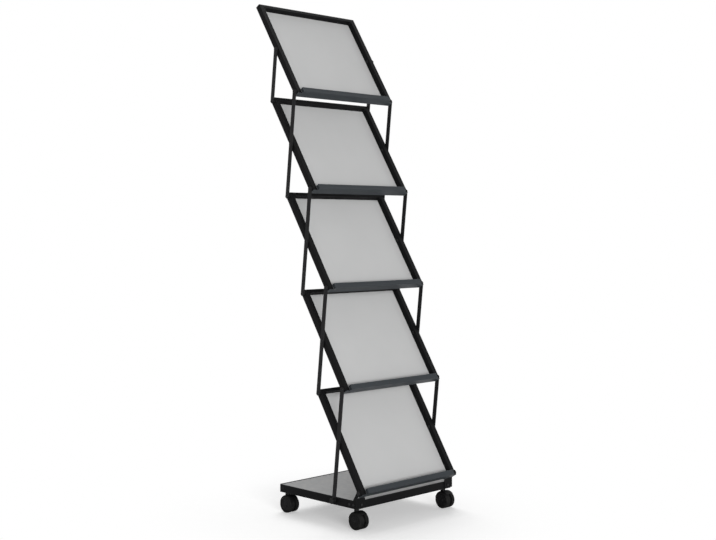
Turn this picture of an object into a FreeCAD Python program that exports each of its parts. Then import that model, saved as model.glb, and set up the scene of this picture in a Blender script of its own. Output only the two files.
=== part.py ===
import FreeCAD, Part
import math
import os

# Folding periodical display rack on castors.
# Five sloping trays are carried by a lazy-tongs lattice of flat steel links,
# one lattice at each side, over a rectangular base on four twin-wheel castors.
# Millimetres.  X is the width, +Y goes to the back, +Z up.
# The origin is on the floor, under the middle of the whole rack.

Vector = FreeCAD.Vector

# ---------------------------------------------------------------- driving sizes
TRAY_COUNT = 5
TRAY_WIDTH = 470.0            # outside the two side rails
TRAY_LENGTH = 386.0           # along the slope, ledge to top bar
TRAY_TILT = 58.0              # slope of a tray above level, degrees
TRAY_STEP_BACK = 78.0         # each tray stands this far behind the one below
TRAY_STEP_UP = 334.0          # and this far above it
RAIL_WIDTH = 20.0             # side rails: square tube
RAIL_DEPTH = 20.0
TOP_BAR = 12.0                # top bar's height along the slope, as deep as the rails
RAIL_WALL = 1.2
RAIL_CORNER = 1.5             # outside corner radius of the tube frame
PANEL_THICK = 1.0             # back sheet, fixed behind the rails
PANEL_MARGIN = 4.0            # the sheet stops this far inside the outline
LEDGE_SHEET = 1.5
LEDGE_REACH = 9.5             # clear space in front of the rails, behind the lip
LEDGE_LIP = 15.5              # height of the front lip above the shelf
PIVOT_INSET = 10.0            # end pivots, measured from a rail's ends
PIVOT_DEPTH = 10.0            # pivots lie on the rails' middle line
FOLD_RATIO = 2.248            # a link turns this much against its tray as that swings down

LINK_WIDTH = 16.0
LINK_THICK = 3.0
WASHER_THICK = 1.8
WASHER_RADIUS = 7.0
PIN_RADIUS = 3.0
RUNNING_CLEARANCE = 0.05      # radial, pins and axles in their holes
FIXED_CLEARANCE = 0.1         # radial, pins in the rails
SIDE_PLAY = 0.4               # washer to link, along a pin
HEAD_PLAY = 0.2               # link to pin head
HEAD_RADIUS = 6.5
HEAD_HEIGHT = 3.0
SOCKET_ACROSS = 4.0           # hexagon sockets in the pin heads
SOCKET_DEPTH = 1.6

CASTER_HEIGHT = 70.0          # floor to underside of base
BASE_DEPTH = 382.0
BASE_RIM = 27.0               # height of the base's rim
BASE_WALL = 2.5
BASE_SEAT = 22.0              # width of the seat that carries the base sheet
BASE_SEAT_THICK = 2.0
BASE_SHEET = 1.2
BASE_SHEET_DROP = 1.5         # sheet lies this far below the rim's edge
BASE_SET_BACK = 26.0          # rim's front, behind the lowest tray's front edge
TRAY_ABOVE_BASE = 25.0        # lowest tray's front edge, above the rim
CORNER_PLATE = 58.0
CORNER_PLATE_THICK = 3.0
CASTER_INSET = 20.0           # swivel axis, from the rim's two faces
BUSH_RADIUS = 4.5
BUSH_FLANGE = 5.5
BUSH_LENGTH = 9.0

BRACKET_TAIL = 38.0           # bracket's foot ends this far behind the rim's front
BRACKET_NECK = 16.0           # its upright starts this far behind the rim's front
BRACKET_EYE = 10.0            # radius round the hinge pin
BRACKET_MARGIN = 3.0          # foot's edges, inside the rim's top and bottom
BRACKET_FLANGE = 40.0         # width of the flange on the rim's front
BRACKET_SHEET = 3.0
BRACKET_CLEAR = 18.0          # flange stops this far below the hinge pin
SCREW_RADIUS = 4.5
SCREW_HEIGHT = 2.4

WHEEL_RADIUS = 29.0
WHEEL_WIDTH = 17.0
WHEEL_ROUND = 5.0
WHEEL_DISH = 4.0
WEB_THICK = 8.0               # hood's web between the twin wheels
WHEEL_GAP = 0.5
AXLE_RADIUS = 3.0
CASTER_TRAIL = 10.0           # wheel axle, from the swivel axis
HOOD_RADIUS = 32.0
HOOD_WALL = 1.8
NECK_RADIUS = 8.5
STEM_RADIUS = 5.0

KNOB_RADIUS = 10.0
KNOB_LENGTH = 9.0
KNOB_FLUTES = 12

# ------------------------------------------------------------- worked-out sizes
HALF_WIDTH = TRAY_WIDTH / 2
TILT = math.radians(TRAY_TILT)
BASE_TOP = CASTER_HEIGHT + BASE_RIM
LOW_TRAY_Z = BASE_TOP + TRAY_ABOVE_BASE
LIP_FRONT = LEDGE_REACH + LEDGE_SHEET
FRONT_EDGE = -LIP_FRONT * math.sin(TILT) - LEDGE_SHEET * math.cos(TILT)
REAR_EDGE = ((TRAY_COUNT - 1) * TRAY_STEP_BACK
             + TRAY_LENGTH * math.cos(TILT) + RAIL_DEPTH * math.sin(TILT))
LOW_TRAY_Y = -(FRONT_EDGE + REAR_EDGE) / 2
HALF_SPAN = TRAY_LENGTH / 2 - PIVOT_INSET
LINK_INNER = HALF_WIDTH + WASHER_THICK + SIDE_PLAY
LINK_OUTER = LINK_INNER + LINK_THICK
BASE_HALF = HALF_WIDTH + WASHER_THICK
BASE_FRONT = LOW_TRAY_Y + BASE_SET_BACK
BASE_BACK = BASE_FRONT + BASE_DEPTH

# A link's half length and lean follow from the trays' step and slope.
LINK_RISE = TRAY_STEP_UP - HALF_SPAN * math.sin(TILT)
LINK_RUN = TRAY_STEP_BACK - HALF_SPAN * math.cos(TILT)
LINK_HALF = math.hypot(LINK_RISE, LINK_RUN)
LINK_ANGLE = math.atan2(LINK_RISE, LINK_RUN)

# The lowest link is longer below its middle pivot: its foot meets the rim.
FOOT_HEIGHT = CASTER_HEIGHT + BASE_RIM / 2
LOW_MIDDLE_Z = LOW_TRAY_Z + TRAY_LENGTH / 2 * math.sin(TILT) - PIVOT_DEPTH * math.cos(TILT)
FOOT_ARM = (LOW_MIDDLE_Z - FOOT_HEIGHT) / math.sin(LINK_ANGLE)


def save(name, solids):
    """Write one node: a single solid, or a group of separate solids."""
    if isinstance(solids, list):
        shape = Part.makeCompound(solids)
    else:
        shape = solids
    for solid in shape.Solids:
        if not solid.isValid():
            raise RuntimeError(name + " has a solid that is not valid")
    shape.exportStep("parts/" + name + ".step")


def block(x0, x1, y0, y1, z0, z1):
    """Box between two corners."""
    return Part.makeBox(x1 - x0, y1 - y0, z1 - z0, Vector(x0, y0, z0))


def rod(radius, x0, x1, y, z):
    """Cylinder along X."""
    return Part.makeCylinder(radius, x1 - x0, Vector(x0, y, z), Vector(1, 0, 0))


def post(radius, z0, z1, x, y):
    """Cylinder along Z."""
    return Part.makeCylinder(radius, z1 - z0, Vector(x, y, z0), Vector(0, 0, 1))


def outline_plate(points, x0, x1):
    """Flat plate: an outline in the YZ plane, thickened along X."""
    corners = [Vector(x0, y, z) for y, z in points]
    wire = Part.makePolygon(corners + [corners[0]])
    return Part.Face(wire).extrude(Vector(x1 - x0, 0, 0))


def mirror_x(shape):
    """The same piece for the other side of the rack."""
    return shape.mirror(Vector(0, 0, 0), Vector(1, 0, 0))


def both_sides(shape):
    """A right-hand piece and its left-hand twin."""
    return [shape, mirror_x(shape)]


def edges_along(shape, direction, longer_than):
    """Straight edges that run along a direction."""
    chosen = []
    for edge in shape.Edges:
        if not isinstance(edge.Curve, Part.Line) or edge.Length < longer_than:
            continue
        if abs(edge.tangentAt(edge.FirstParameter).dot(direction)) > 0.999:
            chosen.append(edge)
    return chosen


def button(radius, height, x, y, z):
    """Low domed head that points to +X."""
    head = rod(radius, x, x + height, y, z)
    rim = [e for e in head.Edges if e.BoundBox.XMin > x + height - 0.01]
    return head.makeFillet(height * 0.75, rim)


# ------------------------------------------------------------------------ trays
# A tray is made lying flat: X across, Y up the slope, Z out of its front.

def tray_place(number):
    """Placement of tray 1 (top) to tray 5 (bottom)."""
    steps = TRAY_COUNT - number
    corner = Vector(0, LOW_TRAY_Y + steps * TRAY_STEP_BACK, LOW_TRAY_Z + steps * TRAY_STEP_UP)
    return FreeCAD.Placement(corner, FreeCAD.Rotation(Vector(1, 0, 0), TRAY_TILT))


def set_on_tray(shape, number):
    """Move a piece that was made lying flat to its tray."""
    placed = shape.copy()
    placed.Placement = tray_place(number).multiply(placed.Placement)
    return placed


def tray_pivots(number):
    """Distances up the slope of one tray's pivots: foot, middle and head."""
    pivots = [PIVOT_INSET, TRAY_LENGTH / 2]
    if number > 1:
        pivots.append(TRAY_LENGTH - PIVOT_INSET)
    return pivots


def is_in_corner(along):
    """A head pivot lies in the corner where a rail meets the top bar."""
    return along > TRAY_LENGTH - TOP_BAR - PIVOT_INSET / 2


def tray_frame(number):
    """Two side rails and the top bar, welded from square and rectangular tube."""
    outer = block(-HALF_WIDTH, HALF_WIDTH, 0, TRAY_LENGTH, -RAIL_DEPTH, 0)
    inside = HALF_WIDTH - RAIL_WIDTH
    outer = outer.cut(block(-inside, inside, -1, TRAY_LENGTH - TOP_BAR, -RAIL_DEPTH - 1, 1))
    outer = outer.makeFillet(RAIL_CORNER, edges_along(outer, Vector(0, 1, 0), TRAY_LENGTH / 2))
    bore_out = HALF_WIDTH - RAIL_WALL
    bore_in = inside + RAIL_WALL
    bore_top = TRAY_LENGTH - RAIL_WALL
    low = -RAIL_DEPTH + RAIL_WALL
    bore = block(-bore_out, bore_out, -1, bore_top, low, -RAIL_WALL)
    bore_floor = TRAY_LENGTH - TOP_BAR + RAIL_WALL
    bore = bore.cut(block(-bore_in, bore_in, -2, bore_floor, -RAIL_DEPTH, 0))
    frame = outer.cut(bore)
    for along in tray_pivots(number):
        start = bore_out - 1 if is_in_corner(along) else inside - 1
        hole = rod(PIN_RADIUS + FIXED_CLEARANCE, start, HALF_WIDTH + 1, along, -PIVOT_DEPTH)
        frame = frame.cut(both_sides(hole))
    return frame


def tray_panel():
    """Back sheet behind the rails, with rounded upper corners."""
    half = HALF_WIDTH - PANEL_MARGIN
    top = TRAY_LENGTH - PANEL_MARGIN
    sheet = block(-half, half, 0, top, -RAIL_DEPTH - PANEL_THICK, -RAIL_DEPTH)
    corners = [e for e in edges_along(sheet, Vector(0, 0, 1), 0.1) if e.BoundBox.YMin > 1]
    return sheet.makeFillet(3.0, corners)


def tray_ledge():
    """Folded sheet: shelf under the rails, front lip between them and two end cheeks."""
    back = -RAIL_DEPTH - PANEL_THICK
    reach = HALF_WIDTH - RAIL_WIDTH
    shelf = block(-HALF_WIDTH, HALF_WIDTH, -LEDGE_SHEET, 0, back, 0)
    front = block(-reach, reach, -LEDGE_SHEET, 0, -1, LIP_FRONT)
    lip = block(-reach, reach, -LEDGE_SHEET, LEDGE_LIP, LEDGE_REACH, LIP_FRONT)
    cheek = block(reach - LEDGE_SHEET, reach, -LEDGE_SHEET, LEDGE_LIP, 0, LIP_FRONT)
    ledge = shelf.fuse([front, lip] + both_sides(cheek)).removeSplitter()
    bend = [e for e in edges_along(ledge, Vector(1, 0, 0), reach)
            if e.BoundBox.YMax < 0 and e.BoundBox.ZMin > LIP_FRONT - 0.1]
    return ledge.makeFillet(LEDGE_SHEET * 0.9, bend)


def hex_socket(across, depth, x, y, z):
    """Cutter for a hexagon socket that opens to +X."""
    radius = across / math.sqrt(3)
    corners = []
    for side in range(7):
        turn = math.pi * side / 3
        corners.append(Vector(x - depth, y + radius * math.cos(turn), z + radius * math.sin(turn)))
    return Part.Face(Part.makePolygon(corners)).extrude(Vector(depth + 1, 0, 0))


def tray_pins(number):
    """Shouldered pins in both rails, socket heads outside the links."""
    inside = HALF_WIDTH - RAIL_WIDTH
    head_start = LINK_OUTER + HEAD_PLAY
    pins = []
    for along in tray_pivots(number):
        in_corner = is_in_corner(along)
        start = inside + RAIL_WALL + 0.5 if in_corner else inside - 1.5
        pin = rod(PIN_RADIUS, start, head_start + 0.5, along, -PIVOT_DEPTH)
        if not in_corner:
            pin = pin.fuse(rod(PIN_RADIUS + 2, start, inside, along, -PIVOT_DEPTH))
        pin = pin.fuse(button(HEAD_RADIUS, HEAD_HEIGHT, head_start, along, -PIVOT_DEPTH))
        top = head_start + HEAD_HEIGHT
        pin = pin.cut(hex_socket(SOCKET_ACROSS, SOCKET_DEPTH, top, along, -PIVOT_DEPTH))
        pins += both_sides(pin.removeSplitter())
    return pins


def tray_washers(number):
    """Nylon washers that keep the links off the rails."""
    washers = []
    for along in tray_pivots(number):
        ring = rod(WASHER_RADIUS, HALF_WIDTH, HALF_WIDTH + WASHER_THICK, along, -PIVOT_DEPTH)
        bore = rod(PIN_RADIUS + FIXED_CLEARANCE, HALF_WIDTH - 1, HALF_WIDTH + 3, along, -PIVOT_DEPTH)
        washers += both_sides(ring.cut(bore))
    return washers


def pivot_point(number, along):
    """Where a pivot of one tray stands in the rack."""
    return tray_place(number).multVec(Vector(0, along, -PIVOT_DEPTH))


# ------------------------------------------------------------------------ links

def link(number):
    """Flat bar of the right-hand lattice, on the middle pivot of one tray."""
    upper = LINK_HALF if number > 1 else 0.0
    lower = LINK_HALF if number < TRAY_COUNT else FOOT_ARM
    half = LINK_WIDTH / 2
    bar = block(LINK_INNER, LINK_OUTER, -lower, upper, -half, half)
    for end in (-lower, upper):
        bar = bar.fuse(rod(half, LINK_INNER, LINK_OUTER, end, 0))
    for hole in sorted({-lower, 0.0, upper}):
        bore = rod(PIN_RADIUS + RUNNING_CLEARANCE, LINK_INNER - 1, LINK_OUTER + 1, hole, 0)
        bar = bar.cut(bore)
    bar = bar.removeSplitter()
    middle = pivot_point(number, TRAY_LENGTH / 2)
    turn = FreeCAD.Rotation(Vector(1, 0, 0), math.degrees(LINK_ANGLE))
    bar.Placement = FreeCAD.Placement(middle, turn).multiply(bar.Placement)
    return bar


def foot_point():
    """Centre of the lowest link's foot hole."""
    middle = pivot_point(TRAY_COUNT, TRAY_LENGTH / 2)
    along = Vector(0, math.cos(LINK_ANGLE), math.sin(LINK_ANGLE))
    return middle - along * FOOT_ARM


def folded_foot_point():
    """The same centre when the trays lie level."""
    hinge = pivot_point(TRAY_COUNT, PIVOT_INSET)
    turned = LINK_ANGLE + TILT * (FOLD_RATIO - 1)
    middle = hinge + Vector(0, HALF_SPAN, 0)
    return middle - Vector(0, math.cos(turned), math.sin(turned)) * FOOT_ARM


def foot_knob():
    """Fluted hand knob with the stud that holds the lowest link to the rim."""
    foot = foot_point()
    start = LINK_OUTER + HEAD_PLAY
    grip = rod(KNOB_RADIUS, start + 2, start + 2 + KNOB_LENGTH, foot.y, foot.z)
    rims = [e for e in grip.Edges if e.BoundBox.XMin > start + KNOB_LENGTH]
    grip = grip.makeFillet(1.5, rims)
    for flute in range(KNOB_FLUTES):
        turn = 2 * math.pi * flute / KNOB_FLUTES
        y = foot.y + (KNOB_RADIUS + 0.9) * math.cos(turn)
        z = foot.z + (KNOB_RADIUS + 0.9) * math.sin(turn)
        grip = grip.cut(rod(1.8, start, start + KNOB_LENGTH + 4, y, z))
    collar = rod(KNOB_RADIUS - 3, start, start + 2, foot.y, foot.z)
    stud = rod(PIN_RADIUS, LINK_INNER + 0.2, start + 3, foot.y, foot.z)
    return grip.fuse([collar, stud]).removeSplitter()


# ------------------------------------------------------------------------- base

def base_frame():
    """Folded steel rim with a seat for the sheet and plates for the castors."""
    outside = block(-BASE_HALF, BASE_HALF, BASE_FRONT, BASE_BACK, CASTER_HEIGHT, BASE_TOP)
    outside = outside.makeFillet(4.0, edges_along(outside, Vector(0, 0, 1), 1))
    wall = BASE_WALL
    hollow = block(-BASE_HALF + wall, BASE_HALF - wall, BASE_FRONT + wall, BASE_BACK - wall,
                   CASTER_HEIGHT - 1, BASE_TOP + 1)
    frame = outside.cut(hollow)
    seat_top = BASE_TOP - BASE_SHEET_DROP - BASE_SHEET
    seat = block(-BASE_HALF + 1, BASE_HALF - 1, BASE_FRONT + 1, BASE_BACK - 1,
                 seat_top - BASE_SEAT_THICK, seat_top)
    width = BASE_SEAT + wall
    seat = seat.cut(block(-BASE_HALF + width, BASE_HALF - width, BASE_FRONT + width,
                          BASE_BACK - width, CASTER_HEIGHT, BASE_TOP))
    pieces = [seat]
    for x, y in caster_points():
        x0 = BASE_HALF - 1 - CORNER_PLATE if x > 0 else -BASE_HALF + 1
        y0 = BASE_FRONT + 1 if y < (BASE_FRONT + BASE_BACK) / 2 else BASE_BACK - 1 - CORNER_PLATE
        pieces.append(block(x0, x0 + CORNER_PLATE, y0, y0 + CORNER_PLATE,
                            CASTER_HEIGHT, CASTER_HEIGHT + CORNER_PLATE_THICK))
    frame = frame.fuse(pieces)
    for x, y in caster_points():
        frame = frame.cut(post(STEM_RADIUS + FIXED_CLEARANCE, CASTER_HEIGHT - 1,
                               CASTER_HEIGHT + CORNER_PLATE_THICK + 1, x, y))
    for foot in (foot_point(), folded_foot_point()):
        hole = rod(BUSH_RADIUS, BASE_HALF - wall - 1, BASE_HALF + 1, foot.y, foot.z)
        frame = frame.cut([hole, mirror_x(hole)])
    return frame.removeSplitter()


def base_panel():
    """Sheet that lies on the seat inside the rim."""
    gap = BASE_WALL + 0.4
    top = BASE_TOP - BASE_SHEET_DROP
    return block(-BASE_HALF + gap, BASE_HALF - gap, BASE_FRONT + gap, BASE_BACK - gap,
                 top - BASE_SHEET, top)


def foot_bushes():
    """Threaded bushes in the rim, two for each foot knob: rack raised and rack folded."""
    bushes = []
    for foot in (foot_point(), folded_foot_point()):
        bush = rod(BUSH_RADIUS, BASE_HALF - BUSH_LENGTH, BASE_HALF, foot.y, foot.z)
        flange = rod(BUSH_FLANGE, BASE_HALF - BASE_WALL - 1.5, BASE_HALF - BASE_WALL, foot.y, foot.z)
        bore = rod(PIN_RADIUS, BASE_HALF - BUSH_LENGTH - 1, BASE_HALF + 1, foot.y, foot.z)
        bushes += both_sides(bush.fuse(flange).cut(bore).removeSplitter())
    return bushes


def bracket_screw_points():
    """The two screws that hold one hinge bracket to the rim."""
    height = CASTER_HEIGHT + BASE_RIM / 2
    return [(BASE_FRONT + 11, height), (BASE_FRONT + BRACKET_TAIL - 8, height)]


def hinge_bracket():
    """Angle round the rim's corner; its side carries the lowest tray's hinge pin."""
    eye = pivot_point(TRAY_COUNT, PIVOT_INSET)
    low = CASTER_HEIGHT + BRACKET_MARGIN
    high = BASE_TOP - BRACKET_MARGIN
    inner = BASE_HALF
    shoulder = eye.z - BRACKET_CLEAR
    outline = [(BASE_FRONT - BRACKET_SHEET, low), (BASE_FRONT + BRACKET_TAIL, low),
               (BASE_FRONT + BRACKET_TAIL, high), (BASE_FRONT + BRACKET_NECK, high),
               (eye.y + BRACKET_EYE, eye.z), (eye.y - BRACKET_EYE, eye.z),
               (BASE_FRONT - BRACKET_SHEET, shoulder)]
    plate = outline_plate(outline, inner, LINK_OUTER)
    flange = block(LINK_OUTER - BRACKET_FLANGE, LINK_OUTER, BASE_FRONT - BRACKET_SHEET, BASE_FRONT,
                   low, shoulder)
    corner = [e for e in edges_along(flange, Vector(0, 1, 0), 1)
              if e.BoundBox.ZMin > shoulder - 1 and e.BoundBox.XMax < inner]
    flange = flange.makeFillet(5.0, corner)
    plate = plate.fuse([flange, rod(BRACKET_EYE, inner, LINK_OUTER, eye.y, eye.z)])
    plate = plate.cut(rod(PIN_RADIUS + RUNNING_CLEARANCE, inner - 1, LINK_OUTER + 1, eye.y, eye.z))
    return plate.removeSplitter()


def front_button(x, z):
    """Button head on the bracket's front flange."""
    head = button(SCREW_RADIUS, SCREW_HEIGHT, 0, 0, 0)
    head.rotate(Vector(0, 0, 0), Vector(0, 0, 1), -90)
    head.translate(Vector(x, BASE_FRONT - BRACKET_SHEET, z))
    return head


def hex_nut(across, height, x, y, z):
    """Nut lying on a plate, with the stem's hole through it."""
    radius = across / math.sqrt(3)
    corners = []
    for side in range(7):
        turn = math.pi * side / 3
        corners.append(Vector(x + radius * math.cos(turn), y + radius * math.sin(turn), z))
    nut = Part.Face(Part.makePolygon(corners)).extrude(Vector(0, 0, height))
    return nut.cut(post(STEM_RADIUS + FIXED_CLEARANCE, z - 1, z + height + 1, x, y))


def base_fasteners():
    """Bracket screws and the nuts on the castors' stems."""
    pieces = []
    for y, z in bracket_screw_points():
        pieces += both_sides(button(SCREW_RADIUS, SCREW_HEIGHT, LINK_OUTER, y, z))
    flange_middle = LINK_OUTER - BRACKET_FLANGE * 0.6
    pieces += both_sides(front_button(flange_middle, CASTER_HEIGHT + BASE_RIM / 2))
    for x, y in caster_points():
        pieces.append(hex_nut(16.0, 7.0, x, y, CASTER_HEIGHT + CORNER_PLATE_THICK))
    return pieces


# ---------------------------------------------------------------------- castors

def caster_points():
    """Swivel axes of the four castors: front left, front right, back left, back right."""
    side = BASE_HALF - CASTER_INSET
    front = BASE_FRONT + CASTER_INSET
    back = BASE_BACK - CASTER_INSET
    return [(-side, front), (side, front), (-side, back), (side, back)]


def caster_stem(x, y):
    """Stem that screws into the base and turns in the hood's neck."""
    low = 2 * WHEEL_RADIUS + 2.0
    top = CASTER_HEIGHT + CORNER_PLATE_THICK + 8.0
    collar = post(STEM_RADIUS + 3, CASTER_HEIGHT - 1.5, CASTER_HEIGHT, x, y)
    return post(STEM_RADIUS, low, top, x, y).fuse(collar).removeSplitter()


def caster_hood(x, y):
    """Moulded hood: neck, web between the wheels and the cover over them."""
    wheel_y = y - CASTER_TRAIL
    half_web = WEB_THICK / 2
    half_hood = half_web + WHEEL_GAP + WHEEL_WIDTH - 2.0
    web = rod(WHEEL_RADIUS - 4, x - half_web, x + half_web, wheel_y, WHEEL_RADIUS)
    shell = rod(HOOD_RADIUS, x - half_hood, x + half_hood, wheel_y, WHEEL_RADIUS)
    shell = shell.makeFillet(5.0, [e for e in shell.Edges if abs(e.Length - 2 * math.pi * HOOD_RADIUS) < 1])
    inner = HOOD_RADIUS - HOOD_WALL
    shell = shell.cut(rod(inner, x - half_hood - 1, x + half_hood + 1, wheel_y, WHEEL_RADIUS))
    shell = shell.cut(block(x - 40, x + 40, wheel_y - 40, wheel_y + 40, -5, WHEEL_RADIUS + 6))
    shell = shell.cut(block(x - 40, x + 40, wheel_y - 40, wheel_y - 15, 0, 2 * WHEEL_RADIUS - 6))
    rib = block(x - half_web, x + half_web, wheel_y - 12, wheel_y + 20, WHEEL_RADIUS + 8, WHEEL_RADIUS + 25)
    rib = rib.common(rod(HOOD_RADIUS - 0.5, x - half_web, x + half_web, wheel_y, WHEEL_RADIUS))
    neck = post(NECK_RADIUS, WHEEL_RADIUS + 22, CASTER_HEIGHT - 2.0, x, y)
    neck = neck.cut(rod(inner, x - 40, x + 40, wheel_y, WHEEL_RADIUS))
    hood = web.fuse([shell, rib, neck])
    hood = hood.cut(post(STEM_RADIUS + RUNNING_CLEARANCE, 2 * WHEEL_RADIUS + 1.5, CASTER_HEIGHT, x, y))
    hood = hood.cut(rod(AXLE_RADIUS + FIXED_CLEARANCE, x - 30, x + 30, wheel_y, WHEEL_RADIUS))
    return hood.removeSplitter()


def caster_axle(x, y):
    """Axle fixed in the web; the wheels turn on its two ends."""
    reach = WEB_THICK / 2 + WHEEL_GAP + WHEEL_WIDTH - 1.5
    return rod(AXLE_RADIUS, x - reach, x + reach, y - CASTER_TRAIL, WHEEL_RADIUS)


def caster_wheel(x, y, side):
    """One of the twin wheels; side is -1 for the left wheel, +1 for the right."""
    wheel_y = y - CASTER_TRAIL
    near = WEB_THICK / 2 + WHEEL_GAP
    far = near + WHEEL_WIDTH
    wheel = rod(WHEEL_RADIUS, near, far, 0, 0)
    outer_rim = [e for e in wheel.Edges if e.BoundBox.XMin > far - 0.01]
    wheel = wheel.makeFillet(WHEEL_ROUND, outer_rim)
    wheel = wheel.cut(rod(WHEEL_RADIUS - 8, far - WHEEL_DISH + 1, far + 1, 0, 0))
    wheel = wheel.fuse(rod(AXLE_RADIUS + 3, far - WHEEL_DISH, far - 1, 0, 0))
    wheel = wheel.cut(rod(AXLE_RADIUS + RUNNING_CLEARANCE, near - 1, far + 1, 0, 0))
    if side < 0:
        wheel = mirror_x(wheel)
    wheel.translate(Vector(x, wheel_y, WHEEL_RADIUS))
    return wheel.removeSplitter()


# ------------------------------------------------------------------------ write

def write_trays():
    for number in range(1, TRAY_COUNT + 1):
        start = "tray_%d_" % number
        save(start + "frame", set_on_tray(tray_frame(number), number))
        save(start + "panel", set_on_tray(tray_panel(), number))
        save(start + "ledge", set_on_tray(tray_ledge(), number))
        save(start + "pins", [set_on_tray(p, number) for p in tray_pins(number)])
        save(start + "washers", [set_on_tray(w, number) for w in tray_washers(number)])


def write_links():
    for number in range(1, TRAY_COUNT + 1):
        right = link(number)
        save("link_%d_right" % number, right)
        save("link_%d_left" % number, mirror_x(right))
    knob = foot_knob()
    save("foot_knob_right", knob)
    save("foot_knob_left", mirror_x(knob))


def write_base():
    save("base_frame", base_frame())
    save("base_panel", base_panel())
    save("foot_bushes", foot_bushes())
    save("hinge_brackets", both_sides(hinge_bracket()))
    save("base_fasteners", base_fasteners())


def write_casters():
    corners = ["front_left", "front_right", "back_left", "back_right"]
    save("caster_stems", [caster_stem(x, y) for x, y in caster_points()])
    for corner, (x, y) in zip(corners, caster_points()):
        save("caster_%s_hood" % corner, caster_hood(x, y))
        save("caster_%s_axle" % corner, caster_axle(x, y))
        save("caster_%s_wheel_left" % corner, caster_wheel(x, y, -1))
        save("caster_%s_wheel_right" % corner, caster_wheel(x, y, 1))


os.makedirs("parts", exist_ok=True)
write_trays()
write_links()
write_base()
write_casters()
hinge = pivot_point(TRAY_COUNT, PIVOT_INSET)
print("link half length %.2f, link angle %.3f deg" % (LINK_HALF, math.degrees(LINK_ANGLE)))
print("hinge at y %.3f z %.3f" % (hinge.y, hinge.z))
print("low middle pivot at y %.3f z %.3f" % (pivot_point(TRAY_COUNT, TRAY_LENGTH / 2).y, LOW_MIDDLE_Z))
print("foot at y %.3f z %.3f" % (foot_point().y, foot_point().z))
print("foot when folded at y %.3f z %.3f" % (folded_foot_point().y, folded_foot_point().z))
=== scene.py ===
import math

import bmesh
import bpy
from mathutils import Matrix, Vector


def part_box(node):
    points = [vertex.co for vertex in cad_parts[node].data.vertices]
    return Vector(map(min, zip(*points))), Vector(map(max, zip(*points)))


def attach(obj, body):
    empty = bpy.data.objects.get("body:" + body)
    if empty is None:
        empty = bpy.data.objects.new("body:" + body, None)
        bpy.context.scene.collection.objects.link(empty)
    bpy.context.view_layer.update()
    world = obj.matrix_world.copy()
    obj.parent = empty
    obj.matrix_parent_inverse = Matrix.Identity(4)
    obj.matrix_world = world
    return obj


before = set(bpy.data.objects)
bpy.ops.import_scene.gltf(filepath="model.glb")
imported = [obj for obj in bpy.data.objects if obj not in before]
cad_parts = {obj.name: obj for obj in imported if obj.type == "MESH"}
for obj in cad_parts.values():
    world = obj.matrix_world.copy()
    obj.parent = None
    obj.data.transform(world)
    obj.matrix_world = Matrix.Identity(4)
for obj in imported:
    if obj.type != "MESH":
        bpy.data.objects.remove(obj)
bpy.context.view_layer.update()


# ---------------------------------------------------------------- viewpoint
# A long lens a little above the middle of the rack, four metres out from its
# front left corner.
viewpoint = bpy.data.cameras.new("viewpoint")
viewpoint.sensor_width = 36.0
viewpoint.lens = 60.19
viewpoint.shift_y = -0.021
viewpoint.clip_end = 200.0
camera = bpy.data.objects.new("viewpoint", viewpoint)
camera.location = (-2.9948, -3.0020, 1.0041)
camera.rotation_euler = (math.radians(90.0 - 1.43), 0.0, math.radians(-44.98))
bpy.context.scene.collection.objects.link(camera)
bpy.context.scene.camera = camera


# ---------------------------------------------------------------- base rim
# Folded steel rim with welded corner plates, satin black powder coat: a fine
# orange-peel skin, a little dust, and a painted highlight along the sharp folds.
def new_material(name):
    """Empty node material with a Principled shader on its output."""
    material = bpy.data.materials.new(name)
    material.use_nodes = True
    nodes = material.node_tree.nodes
    nodes.clear()
    output = nodes.new("ShaderNodeOutputMaterial")
    shader = nodes.new("ShaderNodeBsdfPrincipled")
    material.node_tree.links.new(shader.outputs["BSDF"], output.inputs["Surface"])
    return material, shader


def new_group(name, inputs, outputs):
    """Shader node group with number inputs and number outputs."""
    group = bpy.data.node_groups.new(name, "ShaderNodeTree")
    for label, value in inputs:
        socket = group.interface.new_socket(label, in_out="INPUT", socket_type="NodeSocketFloat")
        socket.default_value = value
    for label in outputs:
        group.interface.new_socket(label, in_out="OUTPUT", socket_type="NodeSocketFloat")
    return group, group.nodes.new("NodeGroupInput"), group.nodes.new("NodeGroupOutput")


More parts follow.
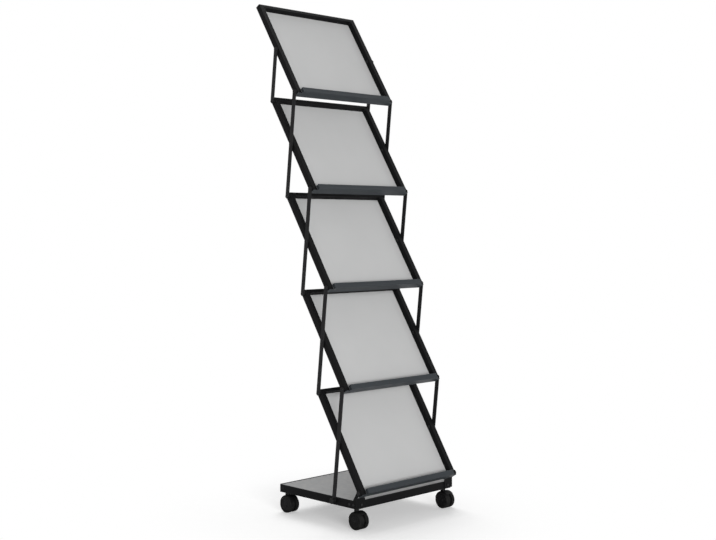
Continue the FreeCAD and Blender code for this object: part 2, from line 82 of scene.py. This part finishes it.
def make_coat_skin():
    """Powder coat: fine orange peel, slow drift in thickness, a painted edge highlight mask and
    a dust mask.
    """
    group, given, result = new_group(
        "coat_skin",
        [("Peel Size", 700.0), ("Drift Size", 9.0), ("Edge Width", 0.0012)],
        ["Peel", "Drift", "Edge", "Dust"],
    )
    nodes, link = group.nodes, group.links.new
    place = nodes.new("ShaderNodeTexCoord")
    peel = nodes.new("ShaderNodeTexNoise")
    peel.inputs["Detail"].default_value = 3.0
    peel.inputs["Roughness"].default_value = 0.45
    link(place.outputs["Object"], peel.inputs["Vector"])
    link(given.outputs["Peel Size"], peel.inputs["Scale"])
    link(peel.outputs["Fac"], result.inputs["Peel"])
    drift = nodes.new("ShaderNodeTexNoise")
    drift.inputs["Detail"].default_value = 4.0
    link(place.outputs["Object"], drift.inputs["Vector"])
    link(given.outputs["Drift Size"], drift.inputs["Scale"])
    link(drift.outputs["Fac"], result.inputs["Drift"])
    # Edge mask: where the bevelled normal parts from the face normal; it lightens sharp edges as
    # a painted highlight.
    rounded = nodes.new("ShaderNodeBevel")
    rounded.samples = 4
    link(given.outputs["Edge Width"], rounded.inputs["Radius"])
    flat = nodes.new("ShaderNodeNewGeometry")
    agree = nodes.new("ShaderNodeVectorMath")
    agree.operation = "DOT_PRODUCT"
    link(rounded.outputs["Normal"], agree.inputs[0])
    link(flat.outputs["Normal"], agree.inputs[1])
    edge = nodes.new("ShaderNodeMapRange")
    edge.inputs["From Min"].default_value = 0.995
    edge.inputs["From Max"].default_value = 0.88
    link(agree.outputs["Value"], edge.inputs["Value"])
    link(edge.outputs["Result"], result.inputs["Edge"])
    facing = nodes.new("ShaderNodeSeparateXYZ")
    link(flat.outputs["Normal"], facing.inputs["Vector"])
    upward = nodes.new("ShaderNodeMapRange")
    upward.inputs["From Min"].default_value = 0.55
    upward.inputs["From Max"].default_value = 1.0
    link(facing.outputs["Z"], upward.inputs["Value"])
    specks = nodes.new("ShaderNodeTexNoise")
    specks.inputs["Scale"].default_value = 60.0
    specks.inputs["Detail"].default_value = 6.0
    link(place.outputs["Object"], specks.inputs["Vector"])
    film = nodes.new("ShaderNodeMapRange")
    film.inputs["From Min"].default_value = 0.42
    film.inputs["From Max"].default_value = 0.72
    link(specks.outputs["Fac"], film.inputs["Value"])
    dust = nodes.new("ShaderNodeMath")
    dust.operation = "MULTIPLY"
    link(upward.outputs["Result"], dust.inputs[0])
    link(film.outputs["Result"], dust.inputs[1])
    link(dust.outputs["Value"], result.inputs["Dust"])
    return group


coat_skin = make_coat_skin()


def make_coat(name, colour, drifted, edge_highlight_colour, dust_colour, rough, peel_depth,
              peel_size=700.0, specular=0.4, edge_highlight_share=0.5, dust_share=0.25):
    """Powder-coated steel in one colour, with its own drift and dust tones and a painted edge
    highlight.
    """
    material, shader = new_material(name)
    nodes, link = material.node_tree.nodes, material.node_tree.links.new
    skin = nodes.new("ShaderNodeGroup")
    skin.node_tree = coat_skin
    skin.inputs["Peel Size"].default_value = peel_size
    tone = nodes.new("ShaderNodeMix")
    tone.data_type = "RGBA"
    tone.inputs["A"].default_value = (*colour, 1.0)
    tone.inputs["B"].default_value = (*drifted, 1.0)
    link(skin.outputs["Drift"], tone.inputs["Factor"])
    # Painted highlight: sharp edges are mixed towards the lighter edge colour.
    edge_highlit = nodes.new("ShaderNodeMix")
    edge_highlit.data_type = "RGBA"
    edge_highlit.inputs["B"].default_value = (*edge_highlight_colour, 1.0)
    edge_highlight_part = nodes.new("ShaderNodeMath")
    edge_highlight_part.operation = "MULTIPLY"
    edge_highlight_part.inputs[1].default_value = edge_highlight_share
    link(skin.outputs["Edge"], edge_highlight_part.inputs[0])
    link(edge_highlight_part.outputs["Value"], edge_highlit.inputs["Factor"])
    link(tone.outputs["Result"], edge_highlit.inputs["A"])
    dusted = nodes.new("ShaderNodeMix")
    dusted.data_type = "RGBA"
    dusted.inputs["B"].default_value = (*dust_colour, 1.0)
    dust_part = nodes.new("ShaderNodeMath")
    dust_part.operation = "MULTIPLY"
    dust_part.inputs[1].default_value = dust_share
    link(skin.outputs["Dust"], dust_part.inputs[0])
    link(dust_part.outputs["Value"], dusted.inputs["Factor"])
    link(edge_highlit.outputs["Result"], dusted.inputs["A"])
    link(dusted.outputs["Result"], shader.inputs["Base Color"])
    gloss = nodes.new("ShaderNodeMapRange")
    gloss.inputs["To Min"].default_value = rough - 0.06
    gloss.inputs["To Max"].default_value = rough + 0.08
    link(skin.outputs["Drift"], gloss.inputs["Value"])
    link(gloss.outputs["Result"], shader.inputs["Roughness"])
    bump = nodes.new("ShaderNodeBump")
    bump.inputs["Strength"].default_value = 0.6
    bump.inputs["Distance"].default_value = peel_depth
    link(skin.outputs["Peel"], bump.inputs["Height"])
    link(bump.outputs["Normal"], shader.inputs["Normal"])
    shader.inputs["Specular IOR Level"].default_value = specular
    return material


def give(material, *names):
    """Put one material on each of these CAD nodes."""
    for name in names:
        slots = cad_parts[name].data.materials
        slots.clear()
        slots.append(material)


black_coat = make_coat(
    "black_powder_coat", (0.0032, 0.0033, 0.0036), (0.0048, 0.0049, 0.0053),
    (0.014, 0.0145, 0.0155), (0.04, 0.039, 0.037), rough=0.5, peel_depth=0.00012,
    specular=0.06,
)
give(black_coat, "base_frame")


# --------------------------------------------------------------- base sheet
# Flat steel sheet laid inside the rim, satin mid grey powder coat, with light
# scuffs from stock that is slid on and off it.
grey_coat = make_coat(
    "grey_powder_coat", (0.265, 0.267, 0.27), (0.245, 0.247, 0.25),
    (0.36, 0.36, 0.36), (0.34, 0.333, 0.32), rough=0.5, peel_depth=0.00008,
    specular=0.12, edge_highlight_share=0.4, dust_share=0.5,
)
give(grey_coat, "base_panel")


# --------------------------------------------- hinge brackets and fasteners
# Black steel plates round the rim's front corners. Their button-head screws,
# the stems' nuts and the rim's threaded bushes are black oxide; the castors'
# stems are zinc plated.
black_oxide = make_coat(
    "black_oxide", (0.007, 0.007, 0.0075), (0.011, 0.011, 0.012),
    (0.028, 0.028, 0.028), (0.05, 0.05, 0.047), rough=0.38, peel_depth=0.00003,
    peel_size=1500.0, specular=0.15,
)
give(black_coat, "hinge_brackets")
give(black_oxide, "base_fasteners", "foot_bushes")


def make_zinc():
    """Bright zinc plate with fine turning marks and a few dull patches."""
    material, shader = new_material("zinc_plate")
    nodes, link = material.node_tree.nodes, material.node_tree.links.new
    place = nodes.new("ShaderNodeTexCoord")
    stretch = nodes.new("ShaderNodeMapping")
    stretch.inputs["Scale"].default_value = (1.0, 1.0, 14.0)
    link(place.outputs["Object"], stretch.inputs["Vector"])
    marks = nodes.new("ShaderNodeTexNoise")
    marks.inputs["Scale"].default_value = 220.0
    marks.inputs["Detail"].default_value = 5.0
    link(stretch.outputs["Vector"], marks.inputs["Vector"])
    patches = nodes.new("ShaderNodeTexNoise")
    patches.inputs["Scale"].default_value = 90.0
    link(place.outputs["Object"], patches.inputs["Vector"])
    tone = nodes.new("ShaderNodeMix")
    tone.data_type = "RGBA"
    tone.inputs["A"].default_value = (0.62, 0.62, 0.63, 1.0)
    tone.inputs["B"].default_value = (0.42, 0.425, 0.44, 1.0)
    link(patches.outputs["Fac"], tone.inputs["Factor"])
    link(tone.outputs["Result"], shader.inputs["Base Color"])
    gloss = nodes.new("ShaderNodeMapRange")
    gloss.inputs["To Min"].default_value = 0.22
    gloss.inputs["To Max"].default_value = 0.45
    link(marks.outputs["Fac"], gloss.inputs["Value"])
    link(gloss.outputs["Result"], shader.inputs["Roughness"])
    shader.inputs["Metallic"].default_value = 1.0
    return material


zinc_plate = make_zinc()
give(zinc_plate, "caster_stems")


# ------------------------------------------------------------------ castors
# Twin-wheel furniture castors: moulded black nylon hood, zinc-plated axle,
# black wheels with a smooth, slightly dusty tread.
CASTOR_CORNERS = ["front_left", "front_right", "back_left", "back_right"]


def make_moulded(name, colour, lifted, rough, grain_size, grain_depth, specular=0.35):
    """Moulded plastic or rubber with a spark-eroded grain and a little grey bloom."""
    material, shader = new_material(name)
    nodes, link = material.node_tree.nodes, material.node_tree.links.new
    place = nodes.new("ShaderNodeTexCoord")
    grain = nodes.new("ShaderNodeTexVoronoi")
    grain.inputs["Scale"].default_value = grain_size
    link(place.outputs["Object"], grain.inputs["Vector"])
    bloom = nodes.new("ShaderNodeTexNoise")
    bloom.inputs["Scale"].default_value = 45.0
    bloom.inputs["Detail"].default_value = 7.0
    bloom.inputs["Roughness"].default_value = 0.62
    link(place.outputs["Object"], bloom.inputs["Vector"])
    spread = nodes.new("ShaderNodeMapRange")
    spread.inputs["From Min"].default_value = 0.45
    spread.inputs["From Max"].default_value = 0.8
    link(bloom.outputs["Fac"], spread.inputs["Value"])
    tone = nodes.new("ShaderNodeMix")
    tone.data_type = "RGBA"
    tone.inputs["A"].default_value = (*colour, 1.0)
    tone.inputs["B"].default_value = (*lifted, 1.0)
    link(spread.outputs["Result"], tone.inputs["Factor"])
    link(tone.outputs["Result"], shader.inputs["Base Color"])
    gloss = nodes.new("ShaderNodeMapRange")
    gloss.inputs["To Min"].default_value = rough - 0.05
    gloss.inputs["To Max"].default_value = rough + 0.12
    link(bloom.outputs["Fac"], gloss.inputs["Value"])
    link(gloss.outputs["Result"], shader.inputs["Roughness"])
    bump = nodes.new("ShaderNodeBump")
    bump.inputs["Strength"].default_value = 0.5
    bump.inputs["Distance"].default_value = grain_depth
    link(grain.outputs["Distance"], bump.inputs["Height"])
    link(bump.outputs["Normal"], shader.inputs["Normal"])
    shader.inputs["Specular IOR Level"].default_value = specular
    return material


hood_nylon = make_moulded("hood_nylon", (0.004, 0.004, 0.0042), (0.012, 0.012, 0.012),
                          0.42, 1800.0, 0.00004, specular=0.1)
wheel_tread = make_moulded("wheel_tread", (0.0045, 0.0045, 0.0045), (0.016, 0.0157, 0.015),
                           0.6, 900.0, 0.00005, specular=0.08)
for corner in CASTOR_CORNERS:
    give(hood_nylon, "caster_%s_hood" % corner)
    give(zinc_plate, "caster_%s_axle" % corner)
    give(wheel_tread, "caster_%s_wheel_left" % corner, "caster_%s_wheel_right" % corner)


def finish_piece(name, shape, material, body):
    """Turn a bmesh into a piece of the rack that rides on one body."""
    bmesh.ops.recalc_face_normals(shape, faces=shape.faces)
    mesh = bpy.data.meshes.new(name)
    shape.to_mesh(mesh)
    shape.free()
    mesh.materials.append(material)
    piece = bpy.data.objects.new(name, mesh)
    bpy.context.scene.collection.objects.link(piece)
    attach(piece, body)
    return piece


MERGE_REACH = 0.000005


def spin_closed(shape, outline, steps):
    """Closed turned part round X from (depth, radius) points that start and end on the axis."""
    verts = [shape.verts.new((depth, 0.0, radius)) for depth, radius in outline]
    edges = [shape.edges.new(pair) for pair in zip(verts, verts[1:])]
    bmesh.ops.spin(shape, geom=verts + edges, cent=(0.0, 0.0, 0.0), axis=(1.0, 0.0, 0.0),
                   angle=2 * math.pi, steps=steps, use_merge=True)
    bmesh.ops.remove_doubles(shape, verts=shape.verts, dist=MERGE_REACH)


HUB_CAP = [(-0.0003, 0.0), (-0.00035, 0.0062), (-0.0010, 0.0078), (-0.0018, 0.0086),
           (-0.0019, 0.0176), (-0.0013, 0.0186), (-0.0012, 0.0199), (-0.0016, 0.0205),
           (-0.00298, 0.0206), (-0.00298, 0.0068), (-0.00092, 0.0066), (-0.00092, 0.0)]
HUB_STEPS = 36
HUB_RIBS = 6
RIB_SIZE = (0.0011, 0.0022, 0.0088)
RIB_PLACE = (-0.0017, 0.0, 0.0131)
RIB_BEVEL = 0.0003


def make_hub_cap():
    """Snap-in cap in a wheel's dish; x = 0 is the wheel's outer face."""
    shape = bmesh.new()
    spin_closed(shape, HUB_CAP, HUB_STEPS)
    rib_size = Matrix.Diagonal((*RIB_SIZE, 1.0))
    rib_place = Matrix.Translation(RIB_PLACE)
    for count in range(HUB_RIBS):
        turn = Matrix.Rotation(2 * math.pi * count / HUB_RIBS, 4, "X")
        made = bmesh.ops.create_cube(shape, size=1.0, matrix=turn @ rib_place @ rib_size)
        rims = list({e for v in made["verts"] for e in v.link_edges})
        bmesh.ops.bevel(shape, geom=rims, offset=RIB_BEVEL, segments=1, profile=0.5,
                        affect="EDGES", material=-1)
    return shape


for corner in CASTOR_CORNERS:
    for side, outward in (("left", -1), ("right", 1)):
        wheel = "caster_%s_wheel_%s" % (corner, side)
        low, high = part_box(wheel)
        face = (low + high) / 2
        face.x = low.x if outward < 0 else high.x
        cap = make_hub_cap()
        if outward < 0:
            bmesh.ops.rotate(cap, verts=cap.verts, cent=(0.0, 0.0, 0.0),
                             matrix=Matrix.Rotation(math.pi, 3, "Z"))
        bmesh.ops.translate(cap, verts=cap.verts, vec=face)
        finish_piece(wheel + "_cap", cap, hood_nylon, wheel)


# -------------------------------------------------------------- tray frames
# Side rails and top bar of steel tube, welded and coated black.
# A small rippled bead of weld stays in each inner corner under the top bar.
TRAYS = [1, 2, 3, 4, 5]
TRAY_SLOPE = math.radians(58.0)
RAIL_DEPTH = 0.020
INSIDE_CORNER = (0.215, 0.374)
WELD_RADIUS = 0.0022
WELD_TUCK = 0.0004
WELD_RUN = (-0.0192, -0.0008)
WELD_RIPPLES = 7
FIRST_SWELL = 1.6
RIPPLE_SWELL = (1.55, 0.8)
LAST_SWELL = 0.7


def tray_place(tray):
    """Where a tray's flat layout stands: X across, Y up the slope, Z out of its front."""
    low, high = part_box("tray_%d_frame" % tray)
    foot = Vector((0.0, low[1], low[2] + RAIL_DEPTH * math.cos(TRAY_SLOPE)))
    return Matrix.Translation(foot) @ Matrix.Rotation(TRAY_SLOPE, 4, "X")


def add_weld_bead(shape, x, along, start, end, radius, ripples):
    """Closed rippled bead that runs through the depth of the frame."""
    ring = bmesh.ops.create_circle(shape, cap_ends=True, segments=10, radius=radius * 0.55,
                                   matrix=Matrix.Translation((x, along, start)))
    edges = list({e for v in ring["verts"] for e in v.link_edges})
    step = (end - start) / (2 * ripples)
    for count in range(2 * ripples):
        grown = bmesh.ops.extrude_edge_only(shape, edges=edges)["geom"]
        verts = [g for g in grown if isinstance(g, bmesh.types.BMVert)]
        edges = [g for g in grown if isinstance(g, bmesh.types.BMEdge)]
        bmesh.ops.translate(shape, verts=verts, vec=(0.0, 0.0, step))
        share = RIPPLE_SWELL[count % 2] if count else FIRST_SWELL
        if count == 2 * ripples - 1:
            share = LAST_SWELL
        bmesh.ops.scale(shape, verts=verts, vec=(share, share, 1.0),
                        space=Matrix.Translation((-x, -along, 0.0)))
    bmesh.ops.contextual_create(shape, geom=edges)


for tray in TRAYS:
    give(black_coat, "tray_%d_frame" % tray)
    beads = bmesh.new()
    for side in (-1, 1):
        add_weld_bead(beads, side * (INSIDE_CORNER[0] - WELD_TUCK), INSIDE_CORNER[1] - WELD_TUCK,
                      *WELD_RUN, WELD_RADIUS, WELD_RIPPLES)
    bmesh.ops.transform(beads, matrix=tray_place(tray), verts=beads.verts)
    finish_piece("tray_%d_corner_welds" % tray, beads, black_coat, "tray_%d" % tray)


# -------------------------------------------------------------- tray sheets
# Thin steel sheet behind the rails of each tray, satin light grey coat, held
# to the rails and the top bar by blind rivets with low domed heads.
light_coat = make_coat(
    "light_grey_powder_coat", (0.445, 0.447, 0.447), (0.42, 0.422, 0.422),
    (0.5, 0.5, 0.5), (0.47, 0.46, 0.445), rough=0.5, peel_depth=0.00008,
    specular=0.2, edge_highlight_share=0.4, dust_share=0.3,
)
SHEET_BACK = -0.021
RIVET_HEAD = 0.0035
RIVET_CROWN = 1.1
RAIL_MIDDLE = 0.225
TOP_BAR_MIDDLE = 0.3775
RIVET_STEPS = 12
RIVET_SPOTS = [(side * RAIL_MIDDLE, along)
               for side in (-1, 1) for along in (0.035, 0.115, 0.27, 0.35)]
RIVET_SPOTS += [(across, TOP_BAR_MIDDLE) for across in (-0.14, 0.0, 0.14)]


def add_rivet(shape, x, along, face, radius):
    """Domed blind-rivet head on the back of a sheet, with its mandrel's hole."""
    outline = [(0.34, 0.17), (0.42, 0.30), (0.70, 0.27), (0.90, 0.18), (1.0, 0.05), (1.0, 0.0)]
    verts = [shape.verts.new((x + radius * out, along, face - radius * up * RIVET_CROWN))
             for out, up in outline]
    edges = [shape.edges.new(pair) for pair in zip(verts, verts[1:])]
    bmesh.ops.spin(shape, geom=verts + edges, cent=(x, along, 0.0), axis=(0.0, 0.0, 1.0),
                   angle=2 * math.pi, steps=RIVET_STEPS, use_merge=True)
    rims = [e for e in shape.edges if e.is_boundary]
    bmesh.ops.holes_fill(shape, edges=rims, sides=RIVET_STEPS)


for tray in TRAYS:
    give(light_coat, "tray_%d_panel" % tray)
    rivets = bmesh.new()
    for across, along in RIVET_SPOTS:
        add_rivet(rivets, across, along, SHEET_BACK, RIVET_HEAD)
    bmesh.ops.transform(rivets, matrix=tray_place(tray), verts=rivets.verts)
    finish_piece("tray_%d_rivets" % tray, rivets, light_coat, "tray_%d" % tray)


# ------------------------------------------------------------- tray ledges
# Folded sheet with an upturned lip that stops the magazines, slate grey coat.
# The lip's upper edge is rolled over into a small safety bead.
# The ledge coat carries a stronger painted highlight along its edges (share 0.6).
slate_coat = make_coat(
    "slate_powder_coat", (0.030, 0.0345, 0.0385), (0.026, 0.030, 0.034),
    (0.08, 0.087, 0.094), (0.1, 0.098, 0.094), rough=0.44, peel_depth=0.0001,
    specular=0.12, edge_highlight_share=0.6,
)
ROLLED_EDGE = 0.0014
ROLLED_START = (-0.2145, 0.0153, 0.0102)
ROLLED_LENGTH = 0.429


def make_rolled_edge():
    """Closed bead from cheek to cheek on the lip's upper edge."""
    shape = bmesh.new()
    turn = Matrix.Rotation(math.pi / 2, 4, "Y")
    ring = bmesh.ops.create_circle(shape, cap_ends=True, segments=12, radius=ROLLED_EDGE,
                                   matrix=Matrix.Translation(ROLLED_START) @ turn)
    faces = list({f for v in ring["verts"] for f in v.link_faces})
    grown = bmesh.ops.extrude_face_region(shape, geom=faces, use_keep_orig=True)["geom"]
    ends = [g for g in grown if isinstance(g, bmesh.types.BMVert)]
    bmesh.ops.translate(shape, verts=ends, vec=(ROLLED_LENGTH, 0.0, 0.0))
    rims = [e for e in shape.edges if len({round(v.co.x, 5) for v in e.verts}) == 1]
    bmesh.ops.bevel(shape, geom=rims, offset=0.0005, segments=2, profile=0.5,
                    affect="EDGES", material=-1)
    return shape


for tray in TRAYS:
    give(slate_coat, "tray_%d_ledge" % tray)
    bead = make_rolled_edge()
    bmesh.ops.transform(bead, matrix=tray_place(tray), verts=bead.verts)
    finish_piece("tray_%d_lip_edge" % tray, bead, slate_coat, "tray_%d" % tray)


# --------------------------------------------------------- pins and washers
# Shouldered steel pivot pins in black oxide with hexagon sockets in their
# heads, and smooth black nylon washers that keep the links off the rails.
washer_nylon = make_moulded("washer_nylon", (0.012, 0.012, 0.012), (0.02, 0.02, 0.02),
                            0.35, 2500.0, 0.00001)
for tray in TRAYS:
    give(black_oxide, "tray_%d_pins" % tray)
    give(washer_nylon, "tray_%d_washers" % tray)


# -------------------------------------------------------------------- links
# Flat steel bars of the lazy-tongs lattice, cut with round ends, drilled for
# the pins and coated black.
bar_coat = make_coat(
    "bar_powder_coat", (0.006, 0.006, 0.0065), (0.009, 0.009, 0.0095),
    (0.03, 0.03, 0.032), (0.06, 0.058, 0.055), rough=0.45, peel_depth=0.00008,
    specular=0.12,
)
for tray in TRAYS:
    give(bar_coat, "link_%d_left" % tray, "link_%d_right" % tray)


# --------------------------------------------------------------- foot knobs
# Fluted hand knobs moulded in black nylon round a steel stud, which screws
# into the rim's bushes and holds the lowest links.
knob_nylon = make_moulded("knob_nylon", (0.005, 0.005, 0.005), (0.013, 0.013, 0.013),
                          0.45, 1600.0, 0.00004, specular=0.15)
give(knob_nylon, "foot_knob_left", "foot_knob_right")


# -------------------------------------------------------------------- floor
# Plain pale floor under the castors: it keeps the rack's soft shadow and runs
# out to white.
FLOOR_RADIUS = 60.0
FLOOR_LIFT = 0.33
SHADOW_EDGE = 0.32
WHITE_FROM = 0.8


def make_floor():
    """Large disc on the floor plane that blends into the white surroundings."""
    mesh = bpy.data.meshes.new("studio_floor")
    shape = bmesh.new()
    bmesh.ops.create_circle(shape, cap_ends=True, segments=96, radius=FLOOR_RADIUS)
    shape.to_mesh(mesh)
    shape.free()
    floor = bpy.data.objects.new("studio_floor", mesh)
    bpy.context.scene.collection.objects.link(floor)
    material, shader = new_material("floor_white")
    nodes, link = material.node_tree.nodes, material.node_tree.links.new
    shader.inputs["Base Color"].default_value = (0.8, 0.8, 0.8, 1.0)
    shader.inputs["Roughness"].default_value = 0.9
    shader.inputs["Specular IOR Level"].default_value = 0.0
    path = nodes.new("ShaderNodeLightPath")
    lift = nodes.new("ShaderNodeMath")
    lift.operation = "MULTIPLY"
    lift.inputs[1].default_value = FLOOR_LIFT
    link(path.outputs["Is Camera Ray"], lift.inputs[0])
    glow = nodes.new("ShaderNodeEmission")
    link(lift.outputs["Value"], glow.inputs["Strength"])
    lit = nodes.new("ShaderNodeAddShader")
    link(shader.outputs["BSDF"], lit.inputs[0])
    link(glow.outputs["Emission"], lit.inputs[1])
    place = nodes.new("ShaderNodeTexCoord")
    away = nodes.new("ShaderNodeVectorMath")
    away.operation = "LENGTH"
    link(place.outputs["Object"], away.inputs[0])
    fade = nodes.new("ShaderNodeMapRange")
    fade.interpolation_type = "SMOOTHSTEP"
    fade.inputs["From Min"].default_value = SHADOW_EDGE
    fade.inputs["From Max"].default_value = WHITE_FROM
    link(away.outputs["Value"], fade.inputs["Value"])
    seen = nodes.new("ShaderNodeMath")
    seen.operation = "MAXIMUM"
    link(path.outputs["Is Camera Ray"], seen.inputs[0])
    link(path.outputs["Is Glossy Ray"], seen.inputs[1])
    seen_any = nodes.new("ShaderNodeMath")
    seen_any.operation = "MAXIMUM"
    link(seen.outputs["Value"], seen_any.inputs[0])
    link(path.outputs["Is Transmission Ray"], seen_any.inputs[1])
    share = nodes.new("ShaderNodeMath")
    share.operation = "MULTIPLY"
    link(fade.outputs["Result"], share.inputs[0])
    link(seen_any.outputs["Value"], share.inputs[1])
    white = nodes.new("ShaderNodeEmission")
    blend = nodes.new("ShaderNodeMixShader")
    link(share.outputs["Value"], blend.inputs["Fac"])
    link(lit.outputs["Shader"], blend.inputs[1])
    link(white.outputs["Emission"], blend.inputs[2])
    output = next(n for n in nodes if n.type == "OUTPUT_MATERIAL")
    link(blend.outputs["Shader"], output.inputs["Surface"])
    mesh.materials.append(material)


make_floor()


# -------------------------------------------------------------------- light
# Even white surroundings; a broad lamp high behind the rack lays its shadow
# forward, and a broad low lamp in front lights the trays evenly.
SOFT_LIGHT = 0.34


def make_surroundings():
    """World that lights softly and looks plain white to the camera."""
    world = bpy.data.worlds.new("studio")
    bpy.context.scene.world = world
    world.use_nodes = True
    nodes, link = world.node_tree.nodes, world.node_tree.links.new
    nodes.clear()
    output = nodes.new("ShaderNodeOutputWorld")
    soft = nodes.new("ShaderNodeBackground")
    soft.inputs["Color"].default_value = (1.0, 1.0, 1.0, 1.0)
    soft.inputs["Strength"].default_value = SOFT_LIGHT
    white = nodes.new("ShaderNodeBackground")
    white.inputs["Color"].default_value = (1.0, 1.0, 1.0, 1.0)
    white.inputs["Strength"].default_value = 1.0
    path = nodes.new("ShaderNodeLightPath")
    seen = nodes.new("ShaderNodeMath")
    seen.operation = "MAXIMUM"
    link(path.outputs["Is Camera Ray"], seen.inputs[0])
    link(path.outputs["Is Glossy Ray"], seen.inputs[1])
    seen_any = nodes.new("ShaderNodeMath")
    seen_any.operation = "MAXIMUM"
    link(seen.outputs["Value"], seen_any.inputs[0])
    link(path.outputs["Is Transmission Ray"], seen_any.inputs[1])
    choose = nodes.new("ShaderNodeMixShader")
    link(seen_any.outputs["Value"], choose.inputs["Fac"])
    link(soft.outputs["Background"], choose.inputs[1])
    link(white.outputs["Background"], choose.inputs[2])
    link(choose.outputs["Shader"], output.inputs["Surface"])


def add_lamp(name, place, aim, width, height, watts):
    """Rectangular area lamp at a place, turned towards a point."""
    data = bpy.data.lights.new(name, "AREA")
    data.shape = "RECTANGLE"
    data.size = width
    data.size_y = height
    data.energy = watts
    lamp = bpy.data.objects.new(name, data)
    lamp.location = place
    turn = (Vector(aim) - Vector(place)).to_track_quat("-Z", "Y")
    lamp.rotation_euler = turn.to_euler()
    bpy.context.scene.collection.objects.link(lamp)


make_surroundings()
add_lamp("back_lamp", (1.6, 2.1, 3.6), (0.0, 0.0, 0.3), 3.0, 3.0, 98.0)
add_lamp("front_lamp", (-3.3, -6.3, 1.2), (0.0, 0.0, 0.9), 3.4, 2.2, 500.0)


# ------------------------------------------------------------------- finish
bpy.context.scene.view_settings.view_transform = "Standard"
bpy.context.view_layer.update()
